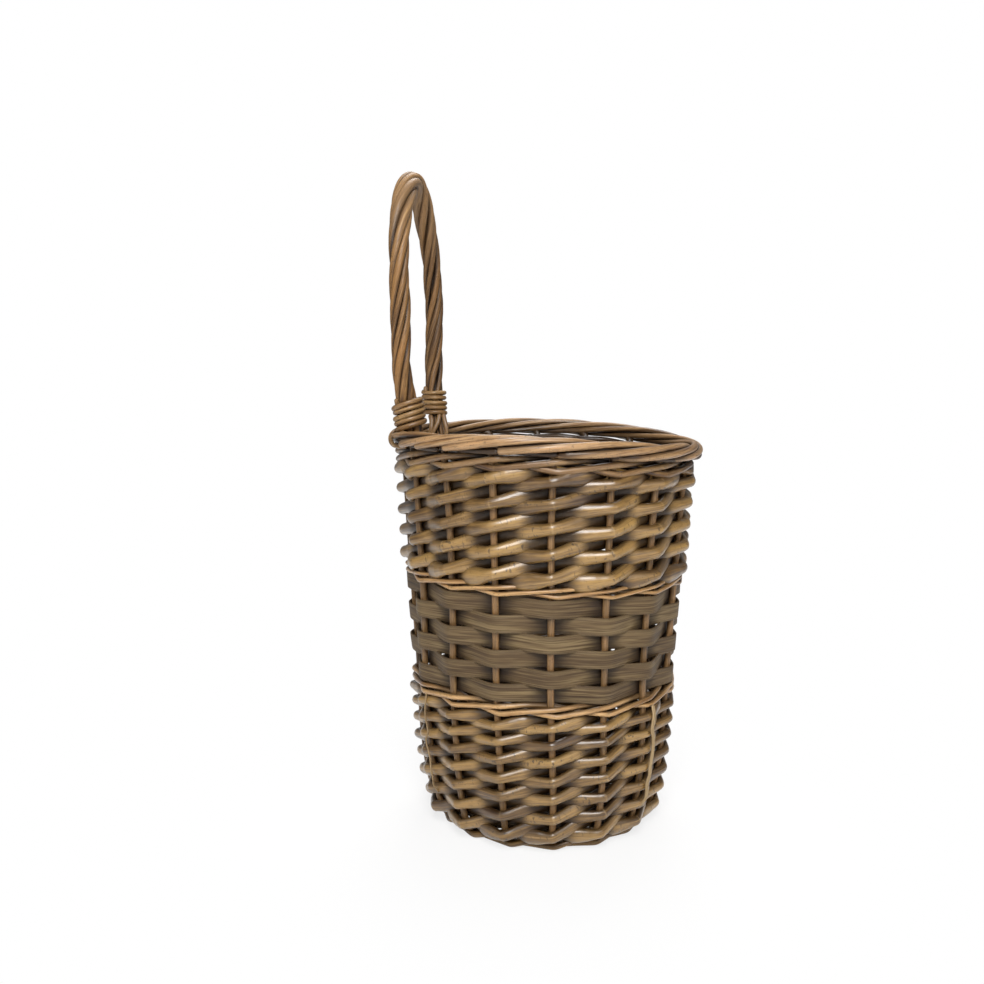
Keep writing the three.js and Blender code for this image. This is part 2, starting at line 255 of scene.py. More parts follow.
class Wire:
    # An output of a node, ready for sums
    def __init__(self, shader, socket):
        self.shader, self.socket = shader, socket

    def beside(self, output):
        return Wire(self.shader, self.socket.node.outputs[output])

    def join(self, operation, first, second):
        return self.shader.node("ShaderNodeMath", {"operation": operation}, {0: first, 1: second})

    def __add__(self, other):
        return self.join("ADD", self, other)

    def __radd__(self, other):
        return self.join("ADD", other, self)

    def __sub__(self, other):
        return self.join("SUBTRACT", self, other)

    def __rsub__(self, other):
        return self.join("SUBTRACT", other, self)

    def __mul__(self, other):
        return self.join("MULTIPLY", self, other)

    def __rmul__(self, other):
        return self.join("MULTIPLY", other, self)


class Shader:
    # The owner is a new material or world
    def __init__(self, owner):
        owner.use_nodes = True
        self.owner, self.tree = owner, owner.node_tree
        self.tree.nodes.clear()

    def node(self, kind, settings=None, inputs=None, output=0):
        node = self.tree.nodes.new(kind)
        for key, value in (settings or {}).items():
            if key == "stops":
                ramp = node.color_ramp.elements
                while len(ramp) < len(value):
                    ramp.new(0.5)
                for element, (position, shade) in zip(ramp, value):
                    element.position, element.color = position, shade
            else:
                setattr(node, key, value)
        for key, value in (inputs or {}).items():
            if isinstance(value, Wire):
                self.tree.links.new(value.socket, node.inputs[key])
            else:
                node.inputs[key].default_value = value
        return Wire(self, node.outputs[output]) if node.outputs else None

    def ramp(self, value, positions, codes):
        stops = [(position, colour(code)) for position, code in zip(positions, codes)]
        return self.node("ShaderNodeValToRGB", {"stops": stops}, {0: value})

    def paint(self, base, code, share):
        # A hex colour laid over base by its share. A Mix node's colours are its inputs 6 and 7 and output 2.
        settings = {"data_type": "RGBA", "clamp_factor": True}
        return self.node("ShaderNodeMix", settings, {0: share, 6: base, 7: colour(code)}, 2)

    def step(self, value, low, high):
        # 0 at low, 1 at high, smooth between and level beyond
        inputs = {0: value, 1: low, 2: high, 3: 0.0, 4: 1.0}
        return self.node("ShaderNodeMapRange", {"interpolation_type": "SMOOTHSTEP"}, inputs)

    def absolute(self, value):
        return self.node("ShaderNodeMath", {"operation": "ABSOLUTE"}, {0: value})

    def attribute(self, name):
        return self.node("ShaderNodeAttribute", {"attribute_name": name}, output="Fac")

    def place(self):
        return self.node("ShaderNodeTexCoord", output="Object")

    def grain(self):
        # Share of the way round the rod, and the length along it in metres
        uv = self.node("ShaderNodeUVMap", {"uv_map": "grain"})
        around = self.node("ShaderNodeSeparateXYZ", None, {0: uv}, "X")
        return around, around.beside("Y")

    def noise(self, around, along, salt, detail=2.0, roughness=0.5):
        # Salt keeps one pattern from lying on another
        vector = self.node("ShaderNodeCombineXYZ", None, {0: around, 1: along, 2: salt})
        inputs = {"Vector": vector, "Scale": 1.0, "Detail": detail, "Roughness": roughness}
        return self.node("ShaderNodeTexNoise", None, inputs)

    def bump(self, height, strength, depth):
        return self.node("ShaderNodeBump", None, {"Strength": strength, "Distance": depth, "Height": height})

    def finish(self, base, roughness, normal, coat=0.0, coatRoughness=0.3):
        surface = self.node("ShaderNodeBsdfPrincipled", None, {
            "Base Color": base, "Roughness": roughness, "Normal": normal, "IOR": 1.45,
            "Coat Weight": coat, "Coat Roughness": coatRoughness})
        self.node("ShaderNodeOutputMaterial", None, {"Surface": surface})
        return self.owner


def colour(code):
    # sRGB hex code to linear light
    values = [int(code[i:i + 2], 16) / 255 for i in (0, 2, 4)]
    return tuple(v / 12.92 if v <= 0.04045 else ((v + 0.055) / 1.055) ** 2.4 for v in values) + (1.0,)


# In the looks, Round counts a pattern's waves round the rod and PerMetre those along it. Shows gives where
# on the pattern its mark begins and where it is full. Ways round the rod are shares of it, 0.5 the outside.
# The darkening of the underside, the inner side and the recesses is painted shade.
saltPerTone = 61.0
plainLook = {
    "dark": "40280d", "body": "76582a", "light": "997742", "honey": "a58143",
    "stops": [0.16, 0.42, 0.64, 0.9], "pickShift": 0.12, "toneStrength": 0.32,
    "patchesRound": 1.6, "patchesPerMetre": 24.0, "patchStrength": 0.95,
    "streaksRound": 22.0, "streaksPerMetre": 26.0, "streakStrength": 1.0,
    "fineTimes": 2.1, "finePerMetre": 130.0, "fineShows": [0.5, 0.72], "fineStrength": 0.45,
    "paleShows": [0.56, 0.72], "paleStrength": 0.3,
    "paleTopFrom": 0.39, "paleTopFade": 0.05, "paleTop": 0.0, "paleTopInside": 0.4, "paleTopColour": "b8946a",
    "specksRound": 9.0, "specksPerMetre": 620.0, "speckShows": [0.59, 0.69], "speckPatchShows": [0.47, 0.64],
    # The speck colour darkens real specks and cracks, and also paints the shade below, inside and in recesses
    "specks": 0.75, "speckAndShadeColour": "1f1004",
    "below": 0.21, "belowFades": [0.04, 0.25], "shadeBelow": 0.72,
    "insideFrom": 0.27, "insideFade": 0.13, "inside": 0.4, "recess": 0.9,
    "wearRound": 2.0, "wearPerMetre": 19.0, "wearShows": [0.42, 0.62],
    "creaseFrom": 0.1, "creaseWidth": 0.8, "creaseStrength": 0.25, "creaseColour": "b6996c",
    "crackFades": [0.2, 3.0], "crackShows": [0.56, 0.7], "crackStrength": 0.55,
    "roughness": 0.42, "patchRoughness": 0.35, "fineRoughness": 0.2, "bump": 0.8, "bumpDepth": 0.0004,
    "relief": {"streaks": 0.5, "fine": 0.6, "patches": 0.9, "crease": 0.3, "cracks": 0.5},
    "coat": 0.9, "coatRoughness": 0.31, "insideDull": 0.8, "recessDull": 0.9,
}


def willow(name, look):
    # Rod colour: a ramp from dark through body and light to honey, picked by slow patches along the rod and
    # its own tone. Over it lie lengthwise streaks, the handle's paler top, dark specks, painted shade on the
    # underside, on the inner side and where the rod lies back, and a pale worn line and dark cracks at each
    # bend.
    s = Shader(bpy.data.materials.new(name))
    around, along = s.grain()
    tone = s.attribute("tone")
    salt = tone * saltPerTone
    patches = s.noise(around * look["patchesRound"], along * look["patchesPerMetre"], salt + 3.0, 3.0, 0.55)
    streaks = s.noise(around * look["streaksRound"], along * look["streaksPerMetre"], salt + 11.0, 3.0, 0.6)
    fineRound = look["streaksRound"] * look["fineTimes"]
    fine = s.noise(around * fineRound, along * look["finePerMetre"], salt + 17.0, 2.0, 0.6)
    specks = s.noise(around * look["specksRound"], along * look["specksPerMetre"], salt + 23.0, 1.0)
    height = s.node("ShaderNodeSeparateXYZ", None, {0: s.place()}, "Z")
    # The handle's paler top: a paler colour laid on above a height in metres, which only the handle reaches
    top = s.step(height, look["paleTopFrom"], look["paleTopFrom"] + look["paleTopFade"])
    pick = patches * look["patchStrength"] + tone * look["toneStrength"]
    pick = pick + (streaks - 0.5) * look["streakStrength"] - look["pickShift"]
    base = s.ramp(pick, look["stops"], [look["dark"], look["body"], look["light"], look["honey"]])
    base = s.paint(base, look["dark"], s.step(fine, *look["fineShows"]) * look["fineStrength"])
    base = s.paint(base, look["creaseColour"], s.step(streaks, *look["paleShows"]) * look["paleStrength"])
    base = s.paint(base, look["paleTopColour"], top * look["paleTop"])
    speckled = s.step(specks, *look["speckShows"]) * s.step(patches, *look["speckPatchShows"])
    base = s.paint(base, look["speckAndShadeColour"], speckled * look["specks"])
    # Painted shade on the rod's underside
    below = 1.0 - s.step(s.absolute(around - look["below"]), *look["belowFades"])
    base = s.paint(base, look["speckAndShadeColour"], below * look["shadeBelow"])
    # Painted shade on the rod's inner side, less of it on the handle's paler top
    inside = s.step(s.absolute(around - 0.5), look["insideFrom"], look["insideFrom"] + look["insideFade"])
    base = s.paint(base, look["speckAndShadeColour"], inside * (1.0 - top * look["paleTopInside"]) * look["inside"])
    # Painted shade where the rod lies back between its neighbours
    recess = s.attribute("recess") * (1.0 - inside)
    base = s.paint(base, look["speckAndShadeColour"], recess * look["recess"])
    away = s.absolute(s.attribute("kink"))
    wear = s.noise(around * look["wearRound"], along * look["wearPerMetre"], salt + 31.0, 1.0)
    crease = (1.0 - s.step(away, look["creaseFrom"], look["creaseWidth"])) * s.step(wear, *look["wearShows"])
    cracks = (1.0 - s.step(away, *look["crackFades"])) * s.step(specks, *look["crackShows"])
    base = s.paint(base, look["creaseColour"], crease * look["creaseStrength"])
    base = s.paint(base, look["speckAndShadeColour"], cracks * look["crackStrength"])
    roughness = look["roughness"] + (patches - 0.5) * look["patchRoughness"]
    roughness = roughness + (fine - 0.5) * look["fineRoughness"]
    deep = look["relief"]
    relief = streaks * deep["streaks"] + fine * deep["fine"] + patches * deep["patches"]
    relief = relief + crease * deep["crease"] - cracks * deep["cracks"]
    normal = s.bump(relief, look["bump"], look["bumpDepth"])
    coat = (1.0 - inside * look["insideDull"]) * (1.0 - recess * look["recessDull"]) * look["coat"]
    return s.finish(base, roughness, normal, coat, look["coatRoughness"])


splitLook = {
    "stops": [0.34, 0.52, 0.7], "pickShift": 0.38, "toneStrength": 0.1,
    "patchesRound": 1.2, "patchesPerMetre": 14.0, "patchStrength": 0.3,
    "fibresPerMetre": 15.0, "fibreStrength": 0.9,
    "threadTimes": 2.2, "threadsPerMetre": 26.0, "threadShows": [0.52, 0.64], "paleThreadShows": [0.46, 0.34],
    "paleShare": 0.6, "below": 0.25, "belowFades": [0.02, 0.13], "shadeBelow": 0.5, "insideFades": [0.26, 0.32],
    "roughness": 0.6, "fibreRoughness": 0.2, "fibreRelief": 0.8, "threadRelief": 0.7, "bumpDepth": 0.0004,
}


def splitWood(name, look):
    # Split strips: straight fibres as thin dark and pale lines along the strip, over slow patches, with
    # painted shade on the underside, on the inner side and where the strip lies back
    s = Shader(bpy.data.materials.new(name))
    around, along = s.grain()
    tone = s.attribute("tone")
    salt = tone * saltPerTone
    patches = s.noise(around * look["patchesRound"], along * look["patchesPerMetre"], salt + 5.0, 3.0)
    fibres = s.noise(around * look["fibresRound"], along * look["fibresPerMetre"], salt + 9.0, 3.0, 0.6)
    threadsRound = look["fibresRound"] * look["threadTimes"]
    threads = s.noise(around * threadsRound, along * look["threadsPerMetre"], salt + 15.0, 2.0, 0.6)
    pick = patches * look["patchStrength"] + (fibres - 0.5) * look["fibreStrength"]
    pick = pick + look["pickShift"] + (tone - 0.5) * look["toneStrength"]
    base = s.ramp(pick, look["stops"], [look["dark"], look["body"], look["light"]])
    base = s.paint(base, look["dark"], s.step(threads, *look["threadShows"]) * look["threadStrength"])
    paleThreads = s.step(threads, *look["paleThreadShows"]) * look["threadStrength"]
    base = s.paint(base, look["light"], paleThreads * look["paleShare"])
    # Painted shade on the strip's underside
    below = 1.0 - s.step(s.absolute(around - look["below"]), *look["belowFades"])
    base = s.paint(base, look["dark"], below * look["shadeBelow"])
    # Painted shade on the strip's inner side
    inside = s.step(s.absolute(around - 0.5), *look["insideFades"])
    base = s.paint(base, look["dark"], inside * look["inside"])
    # Painted shade where the strip lies back behind a stake
    base = s.paint(base, look["recessColour"], s.attribute("recess") * look["recess"])
    relief = fibres * look["fibreRelief"] + threads * look["threadRelief"]
    normal = s.bump(relief, look["bump"], look["bumpDepth"])
    return s.finish(base, look["roughness"] + (fibres - 0.5) * look["fibreRoughness"], normal)


def cutWood(name, look):
    # A rod's cut end: pale wood with darker pith
    s = Shader(bpy.data.materials.new(name))
    grains = s.node("ShaderNodeTexNoise", None, {
        "Vector": s.place(), "Scale": look["grainsPerMetre"], "Detail": 2.0})
    base = s.paint(colour(look["light"]), look["dark"], s.step(grains, *look["darkShows"]))
    return s.finish(base, look["roughness"], s.bump(grains, look["bump"], look["bumpDepth"]))


randingSkin = willow("willowRanding", plainLook)
footSkin = willow("willowFoot", {**plainLook, "shadeBelow": 0.2, "inside": 0.3, "coat": 0.4})
stakeSkin = willow("willowStakes", {
    **plainLook, "dark": "483119", "body": "735735", "light": "8a6842", "honey": "946b40",
    "streaksRound": 14.0, "specks": 0.35, "roughness": 0.5, "shadeBelow": 0.2, "coat": 0.2})
waleSkin = willow("willowWales", {
    **plainLook, "dark": "3c2410", "body": "755633", "light": "8f6f48", "honey": "98774a",
    "streaksRound": 12.0, "specks": 0.4, "roughness": 0.4, "inside": 0.8, "insideFrom": 0.23, "coat": 0.5})
bandSkin = willow("willowBandWales", {
    **plainLook, "dark": "5c3a18", "body": "a17948", "light": "c79f6c", "honey": "cfa264",
    "streaksRound": 12.0, "specks": 0.4, "roughness": 0.4, "inside": 0.7, "recess": 0.7, "coat": 0.5})
borderSkin = willow("willowBorder", {
    **plainLook, "dark": "482a12", "body": "8f6b42", "light": "af8b61", "honey": "b5885a",
    "patchesPerMetre": 18.0, "streaksRound": 15.0, "streakStrength": 1.25, "fineStrength": 0.6,
    "specks": 0.45, "roughness": 0.4, "inside": 0.9, "insideFrom": 0.2, "shadeBelow": 0.65, "recess": 0.85,
    "coat": 0.5})
handleSkin = willow("willowHandle", {
    **plainLook, "dark": "40270f", "body": "674826", "light": "8a6539", "honey": "8f6231", "pickShift": 0.13,
    "patchesPerMetre": 18.0, "streaksRound": 14.0, "streakStrength": 1.5, "specks": 0.3, "roughness": 0.52,
    "inside": 0.95, "insideFrom": 0.12, "shadeBelow": 0.35, "coat": 0.08, "paleTop": 0.38})
bindingSkin = willow("willowBindings", {
    **plainLook, "dark": "472d0c", "body": "82603a", "light": "a07e50", "honey": "a97f48",
    "streaksRound": 12.0, "roughness": 0.48, "coat": 0.35})
floorSkin = willow("willowFloor", {
    **plainLook, "body": "7a6036", "light": "8f7448", "roughness": 0.55, "coat": 0.2})
stripSkin = splitWood("splitWoodStrips", {
    **splitLook, "dark": "3b2915", "body": "5f4b30", "light": "806c4a", "fibresRound": 64.0,
    "threadStrength": 0.65, "inside": 0.4, "recess": 0.82, "recessColour": "20130a", "bump": 0.9})
splintSkin = splitWood("thinSplints", {
    **splitLook, "dark": "6e573a", "body": "9b825d", "light": "b9a27c", "fibresRound": 10.0,
    "threadStrength": 0.4, "inside": 0.3, "recess": 0.0, "recessColour": "21170d", "bump": 0.4})
cutSkin = cutWood("cutEnds", {
    "light": "b8946a", "dark": "7d5c3b", "grainsPerMetre": 900.0, "darkShows": [0.4, 0.65],
    "roughness": 0.7, "bump": 0.3, "bumpDepth": 0.0003})
print("materials made")


# Stakes and floor

stakeLook = {
    "crossPitch": 5.2, "crossFlat": 13.6, "crossReach": 24.5, "crossEase": 6, "crossGap": 0.3,
    "fanReach": 18.0, "top": 264.4, "outAtTop": 1.5, "outEase": 12, "step": 1.6, "smooth": 4, "sides": 12,
    "sway": [30, 0.25], "thickDrift": [24, 0.03], "tones": [0.2, 0.8], "seed": 11,
}


def stakes():
    # Stakes lie four beside four across the floor, one group over the other. Near the middle, a stake's way
    # across its group is the hypotenuse of its own place in the group, fading out, and of its fan line.
    look = stakeLook
    rng = np.random.default_rng(look["seed"])
    perGroup = wall["stakes"] // 4
    half = wall["floorRadius"] + look["top"]
    reach = np.linspace(-half, half, int(2 * half / look["step"]))
    arc = np.abs(reach)
    count = len(arc)
    for group in range(2):
        axis = group * perGroup + (perGroup - 1) / 2
        lift = (1 if group else -1) * (wall["stakeRadius"] + look["crossGap"] / 2)
        for i in range(perGroup):
            fan = i - (perGroup - 1) / 2
            place = np.where(reach < 0, axis + wall["stakes"] / 2 - fan, axis + fan)
            offset = look["outAtTop"] * smoothStep(arc, half - look["outEase"], half)
            points, outs = onWall(place, arc - wall["floorRadius"], offset)
            axisAngle = math.radians(wall["firstAngle"] + axis * stakeTurn + wall["footTwist"])
            fanAngle = math.radians(fan * stakeTurn)
            along = reach * math.cos(fanAngle)
            side = fan * look["crossPitch"] * np.exp(-(along / look["fanReach"]) ** 2)
            across = math.copysign(1, fan) * np.hypot(side, along * math.tan(fanAngle))
            raised = 1 - smoothStep(arc, look["crossFlat"], look["crossReach"])
            middle = np.stack([
                along * math.cos(axisAngle) - across * math.sin(axisAngle),
                along * math.sin(axisAngle) + across * math.cos(axisAngle),
                wall["floorLevel"] + lift * raised], -1)
            share = 1 - smoothStep(arc, look["crossReach"] - look["crossEase"], look["crossReach"])
            points = points * (1 - share[:, None]) + middle * share[:, None]
            points[:, :2] += np.stack([wander(rng, count, *look["sway"]) for _ in range(2)], -1)
            thick = wall["stakeRadius"] * (1 + wander(rng, count, *look["thickDrift"]))
            points = soften(points, look["smooth"])
            rod = tube(points, outs, thick, thick, look["sides"], rng.uniform(*look["tones"]))
            name = f"stake_{group * perGroup + i + 1}"
            makePiece(name + "_rod", [rod], stakeSkin, [name])


stakes()

floorLook = {
    "edge": 66.2, "pitch": 8.3, "rounds": 5, "rodsInRound": 3, "thickness": 2.4, "lap": 1.6,
    "seatJitter": 0.1, "perSpan": 10, "smooth": 6, "sides": 10, "tones": [0.1, 0.8], "seed": 23,
}


def floorRounds():
    # Thin rods over and under the crossed stakes, three in each round's width, every rod out of step with the
    # next
    look = floorLook
    rng = np.random.default_rng(look["seed"])
    width = look["pitch"] / look["rodsInRound"]
    seat = wall["stakeRadius"] + look["thickness"] / 2
    for i in range(look["rounds"]):
        rods = []
        for j in range(look["rodsInRound"]):
            arc = look["edge"] - i * look["pitch"] - (j + 0.5) * width
            place = rng.integers(0, wall["stakes"]) + np.arange(0, wall["stakes"] + look["lap"], 0.5)
            phase = i * look["rodsInRound"] + j
            offset = seat * np.cos(math.pi * (place + phase)) * (place % 1 == 0)
            offset = offset + rng.normal(0, look["seatJitter"], len(place))
            points, outs = onWall(place, arc - wall["floorRadius"], offset)
            points, outs = layAlong(points, outs, look["perSpan"], look["smooth"])
            rods.append(tube(points, outs, look["thickness"] / 2, width / 2, look["sides"],
                             rng.uniform(*look["tones"])))
        makePiece(f"floor_round_{i + 1}_rods", rods, floorSkin, [f"floor_round_{i + 1}"])


floorRounds()
print("stakes and floor laid")


# French randing

lowerRanding = {
    "node": "lower_randing_rod", "strokes": 7, "first": 9.8, "rise": 7.4, "ease": 0.07, "thickness": 5.7,
    "dip": 1.5, "smooth": 9, "seed": 31,
}
upperRanding = {
    "node": "upper_randing_rod", "strokes": 5, "first": 189.4, "rise": 8.0, "ease": 0.03, "thickness": 7.1,
    "dip": 3.0, "smooth": 18, "seed": 47,
}
randingShape = {
    "tipLift": 2.0, "levelJitter": 0.4, "seatJitter": 0.25, "widthJitter": 0.02, "behindFill": 1.42,
    "innerFill": 0.25, "behindThick": 1.22, "widthDrift": [26, 0.035], "thickDrift": [26, 0.05],
    "spanLength": 38.0, "kinkShift": 0.7, "kinkWidth": 1.4, "kinkSwell": 0.05, "kinkThicker": 1.5,
    "scars": 5, "scarHeight": 0.1, "scarLength": 1.8, "scarWidth": 0.6,
    "recessOffsets": [-0.45, 0.15], "perSpan": 30, "smoothOuts": 20, "sides": 16,
}


def budScars(rng, length, shape):
    # Small bumps where buds grew, each a bell at a random place of the rod: scarLength is in millimetres,
    # scarWidth in radians round the rod
    swell = np.zeros((len(length), shape["sides"]))
    angle = (np.arange(shape["sides"]) + 0.5) / shape["sides"] * 2 * math.pi
    for _ in range(shape["scars"]):
        middle, turn = rng.uniform(0, length[-1]), rng.uniform(0, 2 * math.pi)
        along = np.exp(-((length - middle) / shape["scarLength"]) ** 2)
        way = np.mod(angle - turn + math.pi, 2 * math.pi) - math.pi
        around = np.exp(-(way / shape["scarWidth"]) ** 2)
        swell += shape["scarHeight"] * along[:, None] * around
    return swell


def randing(band, shape):
    # Each rod's levels follow first + rise v - ease v v at stake v of its own way: before even stakes, behind
    # odd ones. It has two rows before stake 0 and two after the last, where its butt and tip go in.
    rng = np.random.default_rng(band["seed"])
    perSpan = shape["perSpan"]
    last = 2 * (band["strokes"] - 1)
    v = np.concatenate([[-1, -0.5], np.arange(last + 1), [last + 0.5, last + 1]])
    rows = len(v)
    count = (rows - 1) * perSpan + 1
    at = np.arange(count) / perSpan - 2
    wave = np.cos(math.pi * at)
    behind = 1 - np.maximum(0, wave)
    thickening = 1 + (shape["behindThick"] - 1) * behind
    widening = 1 + (shape["behindFill"] - 1) * behind + shape["innerFill"] * np.maximum(0, -wave)
    seat = wall["stakeRadius"] + band["thickness"] / 2
    behindSeat = seat + (shape["behindThick"] - 1) * band["thickness"] / 2
    for start in range(wall["stakes"]):
        level = band["first"] + band["rise"] * v - band["ease"] * v * v
        level += rng.normal(0, shape["levelJitter"], rows)
        level[0] -= band["dip"] - band["rise"] / 2
        level[-1] += shape["tipLift"] - band["rise"] / 2
        offset = np.where(v % 2 == 0, seat, -behindSeat) + rng.normal(0, shape["seatJitter"], rows)
        offset[[1, -2]] = 0
        half = (band["rise"] - 2 * band["ease"] * v) / 2 * (1 + rng.normal(0, shape["widthJitter"], rows))
        points, outs = onWall(start + v, level, offset)
        points, outs = layAlong(points, outs, perSpan, band["smooth"], shape["smoothOuts"])
        half = fillIn(half, perSpan) * widening * (1 + wander(rng, count, *shape["widthDrift"]))
        thick = band["thickness"] / 2 * thickening * (1 + wander(rng, count, *shape["thickDrift"]))
        kink = bendDistance(at, 2, shape["spanLength"]) + rng.normal(0, shape["kinkShift"])
        pinch = np.exp(-(kink / shape["kinkWidth"]) ** 2) * shape["kinkSwell"]
        swell = budScars(rng, runLength(points), shape)
        # Painted shade where the rod lies back behind a stake
        recess = 1 - smoothStep(fillIn(offset, perSpan) / seat, *shape["recessOffsets"])
        rod = tube(points, outs, thick * (1 + pinch * shape["kinkThicker"]), half * (1 + pinch),
                   shape["sides"], rng.uniform(0, 1), kink, swell=swell, recess=recess)
        name = f"{band['node']}_{start + 1}"
        makePiece(name + "_willow", [rod], randingSkin, [name])


randing(lowerRanding, randingShape)
randing(upperRanding, randingShape)
print("randing woven")


# Wales

waleShape = {
    "rodsInWale": 3, "rows": 37, "ahead": 0.08, "press": 0.1, "levelJitter": 0.15, "behindSwell": 0.45,
    "buttSize": 1.06, "tipLess": 0.2, "thickDrift": [20, 0.05], "spanLength": 19.0,
    "recessOffsets": [-0.3, 0.7], "perSpan": 14, "smooth": 5, "smoothOuts": 20, "sides": 12,
    "tones": [0.1, 0.9], "seed": 61,
}
wales = {
    "foot_wale": {"level": -2.4, "diameter": 4.4, "spread": 0.55, "behindRise": 0.5, "skin": footSkin},
    "lower_band_wale": {"level": 99.0, "diameter": 3.5, "spread": 0.75, "behindRise": 0.5, "skin": bandSkin},
    "upper_band_wale": {"level": 179.0, "diameter": 3.0, "spread": 0.8, "behindRise": 0.5, "skin": bandSkin},
    "top_wale": {"level": 260.6, "diameter": 4.6, "spread": 0.7, "behindRise": 0.62, "skin": waleSkin},
}


def makeWales():
    # Each rod goes before two stakes and behind one, on a pattern of six half places. Rises count rod widths:
    # a rod comes out low at its first stake, lies over the next one's start, and goes in above it. It starts
    # on the pattern's fifth half place, behind a stake.
    shape = waleShape
    rng = np.random.default_rng(shape["seed"])
    offsets = np.array([1.0, 0.8, 1.0, 0.0, -1.0, 0.0])
    pattern = len(offsets)
    perSpan, rows = shape["perSpan"], shape["rows"]
    count = (rows - 1) * perSpan + 1
    taper = shape["buttSize"] - shape["tipLess"] * np.linspace(0, 1, count)
    for name, wale in wales.items():
        seat = wall["stakeRadius"] + wale["diameter"] / 2 - shape["press"]
        spread = wale["spread"]
        rises = np.array([-spread, 0.05, spread, spread + 0.3, wale["behindRise"], -0.15])
        rods = []
        for lap in range(shape["rodsInWale"]):
            start = 2 * wall["stakes"] * lap - 2
            first = start + (4 - start % pattern)
            half = np.arange(first, first + rows)
            level = wale["level"] + rises[half % pattern] * wale["diameter"]
            level = level + rng.normal(0, shape["levelJitter"], rows)
            points, outs = onWall(half / 2 + shape["ahead"], level, offsets[half % pattern] * seat)
            points, outs = layAlong(points, outs, perSpan, shape["smooth"], shape["smoothOuts"])
            offset = fillIn(offsets[half % pattern], perSpan)
            thick = wale["diameter"] / 2 * taper * (1 + wander(rng, count, *shape["thickDrift"]))
            thick *= 1 + shape["behindSwell"] * np.maximum(0, -offset)
            kink = bendDistance(np.arange(count) / perSpan + first, pattern, shape["spanLength"])
            # Painted shade where the rod goes behind a stake
            recess = 1 - smoothStep(offset, *shape["recessOffsets"])
            rods.append(tube(points, outs, thick, thick, shape["sides"], rng.uniform(*shape["tones"]), kink,
                             recess=recess))
        makePiece(name + "_rods", rods, wale["skin"], [name])


makeWales()


# Flat strips

stripLook = {
    "rows": 6, "foot": 104.9, "pitch": 11.6, "height": 12.1, "thickness": 1.3, "frontRoom": 2.8,
    "backRoom": 0.4, "lapRoom": 1.1, "seatJitter": 0.15, "levelJitter": 0.3, "behindWider": 0.08,
    "widthDrift": [30, 0.015], "twistDrift": [20, 0.03], "recessOffsets": [-3.0, 0.6], "squareness": 7.0,
    "perSpan": 20, "smooth": 13, "smoothOuts": 30, "sides": 20, "seed": 71,
}


def strips():
    # Each strip goes before every second stake, the next one before the others, with its ends lapped inside
    look = stripLook
    rng = np.random.default_rng(look["seed"])
    perSpan = look["perSpan"]
    seat = wall["stakeRadius"] + look["thickness"] / 2
    for row in range(look["rows"]):
        place = 1 + row % 2 + np.arange(-1, wall["stakes"] + 2)
        front = (place + row + 1) % 2 == 0
        offset = np.where(front, seat + look["frontRoom"], -seat - look["backRoom"])
        offset += rng.normal(0, look["seatJitter"], len(place))
        offset[-2:] -= look["thickness"] * look["lapRoom"]
        level = look["foot"] + (row + 0.5) * look["pitch"] + rng.normal(0, look["levelJitter"], len(place))
        points, outs = onWall(place, level, offset)
        points, outs = layAlong(points, outs, perSpan, look["smooth"], look["smoothOuts"])
        count = len(points)
        wider = look["behindWider"] * fillIn(~front * 1.0, perSpan)
        half = look["height"] / 2 * (1 + wander(rng, count, *look["widthDrift"]) + wider)
        twist = wander(rng, count, *look["twistDrift"])
        outs = unit(outs + twist[:, None] * np.array([0, 0, 1.0]))
        # Painted shade where the strip lies back behind a stake
        recess = 1 - smoothStep(fillIn(offset, perSpan), *look["recessOffsets"])
        rod = tube(points, outs, look["thickness"] / 2, half, look["sides"], rng.uniform(0, 1),
                   squareness=look["squareness"], ends="cut", recess=recess)
        name = f"strip_{row + 1}"
        makePiece(name + "_splint", [rod], stripSkin, [name])


strips()
print("wales and strips woven")


# Rolled border

borderLook = {
    "radius": 106.0, "leftDip": 2.4, "dipAngle": 97, "dipWidth": 16, "level": 276.2, "twist": 4.1,
    "twistJitter": 0.12, "strand": 4.9, "buttSize": 1.03, "tipLess": 0.22, "thickDrift": [14, 0.05],
    "lay": 5.0, "firstRoll": -68.0, "firstJitter": 4, "lastRoll": 285.0, "lastJitter": 8, "step": 2.0,
    "lead": 0.2, "turnJitter": 0.5, "core": 2.6, "coreSides": 10, "stakeLevels": [262, 264, 266, 268],
    "stakeOut": 0.6, "bridge": 8, "startRecess": 0.6, "startRolls": 24, "tuckedRolls": [130, 240],
    "smooth": 4, "smoothOuts": 6, "sides": 14, "tones": [0.1, 1], "seed": 83,
}
# Beside the handle the strands start further up the border, with flat cut ends: place, then first roll and
# turn. The stakes there end as posts under the roll, whose rows give the way out and up from the last level.
highStarts = {4: [-30.0, 10.0], 5: [-34.0, -3.4], 6: [-40.0, -9.6], 7: [-56.0, -4.5]}
postRows = [[0.5, 2], [2, 4], [4, 5]]


def borderRadius(angle):
    # The ring is drawn in by leftDip where the handle's ties pull at it, at dipAngle
    way = (np.degrees(angle) % 360 - borderLook["dipAngle"]) / borderLook["dipWidth"]
    return borderLook["radius"] - borderLook["leftDip"] * np.exp(-way ** 2)


def roundBorder(angle, roll, reach):
    # At roll, a rod stands at radius plus reach cos roll and at level plus reach sin roll
    radius = borderRadius(angle) + reach * np.cos(roll)
    height = borderLook["level"] + reach * np.sin(roll)
    return polar(radius, angle, height), polar(np.cos(roll), angle, np.sin(roll))


def borderPost(rise, outward):
    # A stake's end beside the handle, bent outwards under the roll, half painted in shade
    out, up = np.array(postRows).T
    bent = rise[-1] + outward[-1] * out[:, None] + polar(0, 0, up)
    outs = np.vstack([outward, outward[:len(bent)]])
    return tube(np.vstack([rise, bent]), outs, wall["stakeRadius"], wall["stakeRadius"], borderLook["sides"],
                0.4, recess=0.5)


